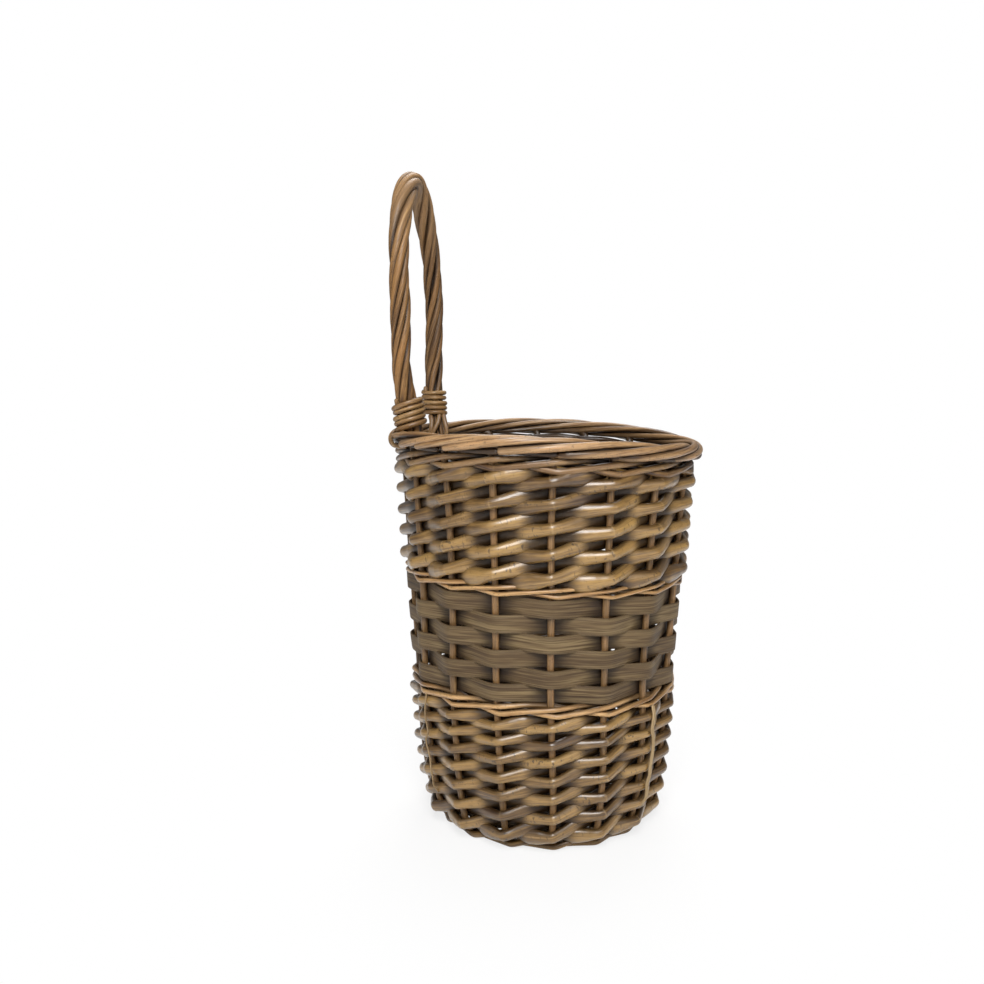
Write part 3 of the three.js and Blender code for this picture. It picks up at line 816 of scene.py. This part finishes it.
def rolledBorder():
    # Sixteen rods wound together, each moving on lay stakes in a full roll. Each is the top of its stake,
    # bent out of the wall and along the rim. The ends tucked into the roll are one ring in its middle.
    look = borderLook
    rng = np.random.default_rng(look["seed"])
    angle = np.radians(np.arange(0, 360 + look["step"], look["step"]))
    middle = polar(borderRadius(angle), angle, look["level"])
    # The core ring is painted all in shade
    rods = [tube(middle, polar(1, angle, 0), look["core"], look["core"], look["coreSides"], 0.3, recess=1.0)]
    for k in range(wall["stakes"]):
        usual = [look["firstRoll"] + rng.normal(0, look["firstJitter"]), 0]
        firstRoll, shift = highStarts.get(k, usual)
        lastRoll = look["lastRoll"] + rng.normal(0, look["lastJitter"])
        roll = np.radians(np.arange(firstRoll, lastRoll, look["step"]))
        rolls = (roll - math.radians(look["firstRoll"])) / (2 * math.pi)
        turn = unevenTurn(k) + (shift + rng.normal(0, look["turnJitter"]))
        angle = math.radians(wall["firstAngle"] + (k + look["lead"]) * stakeTurn + turn)
        angle = angle + rolls * look["lay"] * math.radians(stakeTurn)
        points, outs = roundBorder(angle, roll, look["twist"] + rng.normal(0, look["twistJitter"]))
        rise, outward = onWall(k, np.array(look["stakeLevels"]), stakeLook["outAtTop"] * look["stakeOut"])
        # Painted shade on the roll's inner lower side, between the tuckedRolls degrees
        recess = smoothStep(np.degrees(roll), *look["tuckedRolls"])
        ends = "cut"
        if k in highStarts:
            rods.append(borderPost(rise, outward))
        else:
            t = np.linspace(0, 1, look["bridge"])[1:-1, None]
            points = np.vstack([rise, rise[-1] * (1 - t) + points[0] * t, points])
            outs = np.vstack([outward, outward[-1] * (1 - t) + outs[0] * t, outs])
            # Painted shade where the strand comes out of the wall and from under the roll, fading over
            # startRolls degrees
            fade = smoothStep(np.degrees(roll) - firstRoll, 0, look["startRolls"])
            recess = np.maximum(recess, look["startRecess"] * (1 - fade))
            recess = np.concatenate([np.full(len(rise) + len(t), look["startRecess"]), recess])
            ends = "round"
        count = len(points)
        points, outs = soften(points, look["smooth"]), unit(soften(outs, look["smoothOuts"]))
        taper = look["buttSize"] - look["tipLess"] * np.linspace(0, 1, count)
        thick = look["strand"] / 2 * taper * (1 + wander(rng, count, *look["thickDrift"]))
        rods.append(tube(points, outs, thick, thick, look["sides"], rng.uniform(*look["tones"]), ends=ends,
                         recess=recess))
    makePiece("rolled_border_rods", rods, borderSkin, ["rolled_border"])


rolledBorder()
print("border rolled")


# Handle and its bindings

# Rope and strands have the first of their shares at the legs' ends and gain the second on the way up. The
# right leg is painted in shade, and farEnds gives the shares of the bow's length between which that fades.
handleLook = {
    "rise": 174.3, "archRise": 78.4, "archLean": 3.0, "topAngle": 27.9, "topInset": 1.5, "rimAngle": 23.8,
    "rimInset": 9.0, "legBend": 50.0, "tailInset": 17.1, "tailDepth": 42.0, "tailBend": 18.0, "seat": 8.0,
    "legRows": 120, "archRows": 160, "smooth": 20, "step": 1.2,
    "strands": 6, "lay": 128.0, "ropeRadius": 4.7, "ropeShares": [0.62, 0.38], "strandRadius": 2.5,
    "strandShares": [0.7, 0.3], "strandSizes": [0.8, 1.12], "strandOut": 0.95, "strandUp": 1.06,
    "coreRadius": 2.7, "coreSides": 8, "growBelow": 5.7, "growAbove": 2, "growAboveFar": 41,
    "crownHeights": [405, 440], "crownSwell": 0.12, "farEnds": [0.34, 0.46], "farShade": 0.25,
    "turnDrift": [60, 0.1], "reachDrift": [40, 0.035], "thickDrift": [40, 0.07], "sides": 14, "seed": 97,
}


def legLine(side, height):
    # The leg stands inside the wall, comes out past the border and spreads above it
    look = handleLook
    out = smoothStep(height, wall["rimTop"] - look["tailBend"], wall["rimTop"] + look["seat"])
    above = smoothStep(height, wall["rimTop"], wall["rimTop"] + look["legBend"])
    inset = look["tailInset"] + (look["rimInset"] - look["tailInset"]) * out
    inset = inset + (look["topInset"] - look["rimInset"]) * above
    turn = look["rimAngle"] + (look["topAngle"] - look["rimAngle"]) * above
    return polar(borderLook["radius"] - inset, math.pi / 2 - side * np.radians(turn), height)


def bowLine():
    # Up the right leg, over a half ellipse that leans outwards, and down the left leg, cut into even steps
    look = handleLook
    archFoot = wall["rimTop"] + look["rise"] - look["archRise"]
    height = np.linspace(wall["rimTop"] - look["tailDepth"], archFoot, look["legRows"])
    right, left = legLine(1, height), legLine(-1, height)
    a = np.linspace(0, math.pi, look["archRows"])[1:-1]
    foot = right[-1]
    arch = np.stack([foot[0] * np.cos(a), foot[1] + look["archLean"] * np.sin(a),
                     archFoot + look["archRise"] * np.sin(a)], -1)
    line = np.vstack([right, arch, left[::-1]])
    length = runLength(line)
    even = np.arange(0, length[-1], look["step"])
    line = np.stack([np.interp(even, length, column) for column in line.T], -1)
    return soften(line, look["smooth"]), even


def handleBow():
    # Strand j stands at ropeRadius from the middle line, at angle 2 pi (j / strands + length / lay)
    look = handleLook
    rng = np.random.default_rng(look["seed"])
    line, length = bowLine()
    tangents = unit(np.gradient(line, axis=0))
    outs = unit(np.array([0.0, 1.0, 0.0]) - tangents * tangents[:, 1:2])
    ups = np.cross(tangents, outs)
    count, height = len(line), line[:, 2]
    far = 1 - smoothStep(length / length[-1], *look["farEnds"])
    fullAt = wall["rimTop"] + look["growAbove"] + look["growAboveFar"] * far
    full = smoothStep(height, borderLook["level"] - look["growBelow"], fullAt)
    crown = 1 + look["crownSwell"] * smoothStep(height, *look["crownHeights"])
    ropeShare = look["ropeShares"][0] + look["ropeShares"][1] * full
    strandShare = look["strandShares"][0] + look["strandShares"][1] * full
    reach = look["ropeRadius"] * ropeShare * crown
    core = look["coreRadius"] * ropeShare
    strands = [tube(line, outs, core, core, look["coreSides"], 0.2)]
    for j in range(look["strands"]):
        angle = 2 * math.pi * (j / look["strands"] + length / look["lay"])
        angle = angle + wander(rng, count, *look["turnDrift"])
        away = outs * np.cos(angle)[:, None] + ups * np.sin(angle)[:, None]
        distance = reach * (1 + wander(rng, count, *look["reachDrift"]))
        thick = look["strandRadius"] * strandShare * crown
        thick = thick * rng.uniform(*look["strandSizes"]) * (1 + wander(rng, count, *look["thickDrift"]))
        # The right leg's strands carry painted shade as their recess value
        strands.append(tube(line + away * distance[:, None], away, thick * look["strandOut"],
                            thick * look["strandUp"], look["sides"], rng.uniform(0, 1),
                            recess=far * look["farShade"]))
    makePiece("handle_bow_rods", strands, handleSkin, ["handle_bow"])


handleBow()

bindingLook = {
    "turns": 5.0, "pitch": 3.8, "step": 0.05, "reachDrift": [8, 0.2], "heightDrift": [7, 0.25],
    "thickDrift": [10, 0.06], "sides": 12, "tones": [0.3, 0.8], "seed": 103,
}
bindings = {
    "handle_binding_left": {"side": -1, "rod": 3.9, "envelope": 7.4, "foot": -0.5, "tilt": 0.2, "aside": 0.0},
    "handle_binding_right": {"side": 1, "rod": 3.4, "envelope": 6.4, "foot": 5.5, "tilt": 0.0, "aside": 1.0},
}


def bind(name, one):
    # A winding: at turn t, the rod stands out from the leg at angle 2 pi t and has climbed pitch times t
    look = bindingLook
    side, rod = one["side"], one["rod"]
    rng = np.random.default_rng(look["seed"] + side)
    turn = np.arange(0, look["turns"] + look["step"], look["step"])
    count = len(turn)
    height = wall["rimTop"] + one["foot"] + rod / 2 + turn * look["pitch"]
    outs = polar(1, -side * 2 * math.pi * turn, 0)
    reach = one["envelope"] + rod / 2
    centres = legLine(side, height) + outs * (reach + wander(rng, count, *look["reachDrift"]))[:, None]
    centres[:, 1] += one["aside"]
    centres[:, 2] += wander(rng, count, *look["heightDrift"]) - one["tilt"] * outs[:, 1] * reach
    thick = rod / 2 * (1 + wander(rng, count, *look["thickDrift"]))
    winding = tube(centres, outs, thick, thick, look["sides"], rng.uniform(*look["tones"]))
    makePiece(name + "_rod", [winding], bindingSkin, [name])


for name, one in bindings.items():
    bind(name, one)

detailLook = {
    "perStep": 10, "smooth": 12, "thickDrift": [8, 0.06], "sides": 10, "tones": [0.2, 0.8], "seed": 109,
    "tieRolls": [150, -110], "tieRows": 60, "tieDrift": [12, 0.2], "tieSinks": 1.4, "sinkRolls": [0.2, 1.6],
    "tieOut": 1.2, "tieUp": 1.7,
}
# Small rods at the handle's feet. From the leg of that side, rows give the way left and forward, as the
# camera sees them, and the height over the rim's top. The half thicknesses follow.
footRods = {
    "tail_far": {
        "side": 1, "rows": [[5.8, 4.2, 17], [6.6, 4.2, 24], [6.9, 4.0, 29.5]], "half": [1.6, 1.6]},
    "tail_near_left": {
        "side": -1, "rows": [[5.9, 4.0, 14], [6.5, 4.0, 18], [6.6, 3.8, 22.5]], "half": [1.5, 1.5]},
    "tail_near_right": {
        "side": -1, "rows": [[-7.4, 3.6, 14], [-7.2, 4.4, 19], [-6.0, 4.8, 22]], "half": [1.6, 1.6]},
    "splay_1": {
        "side": 1, "rows": [[4.0, 5.6, 8], [3.0, 7.6, 3], [4.4, 9.0, -3], [6.0, 9.0, -9]],
        "half": [1.5, 1.8]},
    "splay_2": {
        "side": 1, "rows": [[-3.4, 6.2, 8], [-1.0, 8.2, 1], [2.0, 9.4, -4], [4.0, 9.6, -9]],
        "half": [1.4, 1.7]},
    "splay_3": {
        "side": 1, "rows": [[-6.0, 4.6, 8], [-6.4, 6.6, 1], [-7.6, 7.6, -4], [-7.0, 8.0, -10]],
        "half": [1.3, 1.6]},
}
# Strands over the rim beside the left foot: degrees round the basket where they begin and end, then their way
# out from the middle of the roll
rimTies = {
    "tie_1": {"start": 101.0, "end": 121.0, "reach": 6.1, "tone": 1.0},
    "tie_2": {"start": 105.0, "end": 125.0, "reach": 6.0, "tone": 0.8},
}


def footRod(rod):
    look = detailLook
    rng = np.random.default_rng(look["seed"])
    rows = np.array(rod["rows"], float)
    bearing = math.radians(cameraBearing)
    forward = np.array([math.cos(bearing), math.sin(bearing), 0])
    left = np.array([math.sin(bearing), -math.cos(bearing), 0])
    base = legLine(rod["side"], wall["rimTop"] + np.maximum(rows[:, 2], 0))
    base[:, 2] = wall["rimTop"] + rows[:, 2]
    points = base + left * rows[:, :1] + forward * rows[:, 1:2]
    points = soften(fillIn(points, look["perStep"]), look["smooth"])
    thick = 1 + wander(rng, len(points), *look["thickDrift"])
    return tube(points, np.tile(forward, (len(points), 1)), rod["half"][0] * thick, rod["half"][1] * thick,
                look["sides"], rng.uniform(*look["tones"]))


def rimTie(tie):
    # From the first of tieRolls round the border to the last, in degrees. It sinks in by tieSinks below the
    # roll's middle, between sinkRolls radians.
    look = detailLook
    rng = np.random.default_rng(look["seed"])
    rows = look["tieRows"]
    roll = np.radians(np.linspace(*look["tieRolls"], rows))
    angle = np.radians(np.linspace(tie["start"], tie["end"], rows))
    sunk = look["tieSinks"] * smoothStep(-roll, *look["sinkRolls"])
    reach = tie["reach"] + wander(rng, rows, *look["tieDrift"]) - sunk
    points, outs = roundBorder(angle, roll, reach)
    return tube(points, outs, look["tieOut"], look["tieUp"], look["sides"], tie["tone"])


def footDetails():
    rods = [footRod(rod) for rod in footRods.values()]
    rods += [rimTie(tie) for tie in rimTies.values()]
    makePiece("handle_foot_details", rods, bindingSkin, [])


footDetails()

splintLook = {
    "top": 97, "foot": 24, "rows": 14, "sway": 0.018, "seatJitter": 0.15, "press": 0.93, "rest": 0.7,
    "endsIn": 2.5, "perSpan": 12, "smooth": 20, "sides": 8, "tones": [0.2, 0.8], "seed": 113,
}
# Thin splints down the lower randing: places at the top and foot, half width and half thickness
splints = {
    "splint_near": [10.07, 9.95, 1.7, 1.1], "splint_far": [5.25, 5.3, 0.6, 0.6],
    "splint_back": [14.3, 14.2, 1.1, 0.9], "splint_handle": [1.7, 1.8, 0.9, 0.7],
}


def thinSplints():
    # A line down the wall that rests on the strokes, wavering a little from side to side. Off a stake, the
    # strokes lie further in, as the cosine of half a turn times the way from the stake.
    look = splintLook
    rng = np.random.default_rng(look["seed"])
    rows, stroke = look["rows"], lowerRanding["thickness"] / 2
    level = np.linspace(look["top"], look["foot"], rows)
    rods = []
    for top, foot, half, thin in splints.values():
        place = np.linspace(top, foot, rows) + rng.normal(0, look["sway"], rows)
        bulge = (wall["stakeRadius"] + stroke) * np.cos(math.pi * (place - np.round(place)))
        offset = bulge * look["press"] + stroke + thin * look["rest"]
        offset += rng.normal(0, look["seatJitter"], rows)
        offset[[0, -1]] -= look["endsIn"]
        points, outs = onWall(place, level, offset)
        points, outs = layAlong(points, outs, look["perSpan"], look["smooth"])
        rods.append(tube(points, outs, thin, half, look["sides"], rng.uniform(*look["tones"])))
    makePiece("thin_splints", rods, splintSkin, [])


thinSplints()
print("handle bound")


# Ground, lights and camera, in metres where nothing else is said

white = (1.0, 1.0, 1.0, 1.0)
stageLook = {
    "size": 6.0, "drop": 0.0002, "shade": (0.9, 0.9, 0.9, 1.0), "shadowShare": 0.22,
    "shadowFades": [0.06, 0.26], "glossyShare": 0.12,
}


def whiteShare(s):
    # The white background's share in what a ray meets: all of it for the camera and through glass, and a
    # little in reflections, since willow has a soft sheen and no mirror gloss
    path = s.node("ShaderNodeLightPath", output="Is Camera Ray")
    glossy = path.beside("Is Glossy Ray") * stageLook["glossyShare"]
    return path + path.beside("Is Transmission Ray") + glossy


def stage():
    # White to the camera, but for a share near the basket that keeps its shadow
    look = stageLook
    bpy.ops.mesh.primitive_plane_add(size=look["size"], location=(0, 0, -look["drop"]))
    ground = bpy.context.object
    ground.name = "ground"
    s = Shader(bpy.data.materials.new("ground"))
    diffuse = s.node("ShaderNodeBsdfDiffuse", None, {"Color": look["shade"]})
    bright = s.node("ShaderNodeEmission", None, {"Color": white, "Strength": 1.0})
    away = s.node("ShaderNodeVectorMath", {"operation": "LENGTH"}, {0: s.place()}, "Value")
    near = 1.0 - s.step(away, *look["shadowFades"])
    share = whiteShare(s) * (1.0 - near * look["shadowShare"])
    surface = s.node("ShaderNodeMixShader", None, {0: share, 1: diffuse, 2: bright})
    s.node("ShaderNodeOutputMaterial", None, {"Surface": surface})
    ground.data.materials.append(s.owner)


stage()

lightLook = {"surround": 0.09, "aim": (0, 0, 0.2)}
# The far side's fill stays out of reflections, where it would lie on the strokes as a grey haze
softboxes = {
    "keySoftbox": {"place": (-1.1, -0.14, 1.15), "size": (0.5, 0.7), "power": 23.0, "glossy": True},
    "leftSoftbox": {"place": (-0.9, 1.1, 0.7), "size": (0.6, 0.8), "power": 2.2, "glossy": True},
    "rightSoftbox": {"place": (-0.8, -1.2, 0.7), "size": (0.6, 0.8), "power": 2.8, "glossy": True},
    "backSoftbox": {"place": (0.7, 0.1, 1.3), "size": (0.6, 0.6), "power": 7.0, "glossy": True},
    "farSoftbox": {"place": (1.3, -0.2, 0.6), "size": (0.8, 0.8), "power": 8.0, "glossy": False},
}


def world():
    # White to the camera, dimmer for the light that it gives
    s = Shader(bpy.data.worlds.new("studio"))
    soft = s.node("ShaderNodeBackground", None, {"Color": white, "Strength": lightLook["surround"]})
    bright = s.node("ShaderNodeBackground", None, {"Color": white, "Strength": 1.0})
    surface = s.node("ShaderNodeMixShader", None, {0: whiteShare(s), 1: soft, 2: bright})
    s.node("ShaderNodeOutputWorld", None, {"Surface": surface})
    bpy.context.scene.world = s.owner


def softbox(name, one):
    light = bpy.data.lights.new(name, "AREA")
    light.shape, light.energy = "RECTANGLE", one["power"]
    light.size, light.size_y = one["size"]
    lamp = bpy.data.objects.new(name, light)
    lamp.location = one["place"]
    aim = Vector(lightLook["aim"]) - Vector(one["place"])
    lamp.rotation_euler = aim.to_track_quat("-Z", "Y").to_euler()
    lamp.visible_glossy = one["glossy"]
    bpy.context.scene.collection.objects.link(lamp)


world()
for name, one in softboxes.items():
    softbox(name, one)

# The camera that took the photo, found by fitting the rim, the stakes and the outline: its distance and its
# height over the rim are in millimetres, its pitch and its aim to the left in radians
cameraLook = {
    "focalPixels": 987.1, "photoPixels": 984, "sensorWidth": 36, "clip": (0.05, 20), "distance": 709.8,
    "aboveRim": 41.57, "pitch": 0.1244, "aimLeft": 0.05289,
}


def camera():
    look = cameraLook
    data = bpy.data.cameras.new("camera")
    data.sensor_width = look["sensorWidth"]
    data.lens = look["sensorWidth"] * look["focalPixels"] / look["photoPixels"]
    data.clip_start, data.clip_end = look["clip"]
    eye = bpy.data.objects.new("camera", data)
    bearing = math.radians(cameraBearing)
    distance, height = look["distance"] * mm, (wall["rimTop"] + look["aboveRim"]) * mm
    eye.location = (distance * math.cos(bearing), distance * math.sin(bearing), height)
    heading = bearing + math.pi / 2 + look["aimLeft"]
    eye.rotation_euler = Euler((math.pi / 2 - look["pitch"], 0, heading))
    bpy.context.scene.collection.objects.link(eye)
    bpy.context.scene.camera = eye


camera()
bpy.context.scene.view_settings.view_transform = "Standard"
print("ground, lights and camera set")
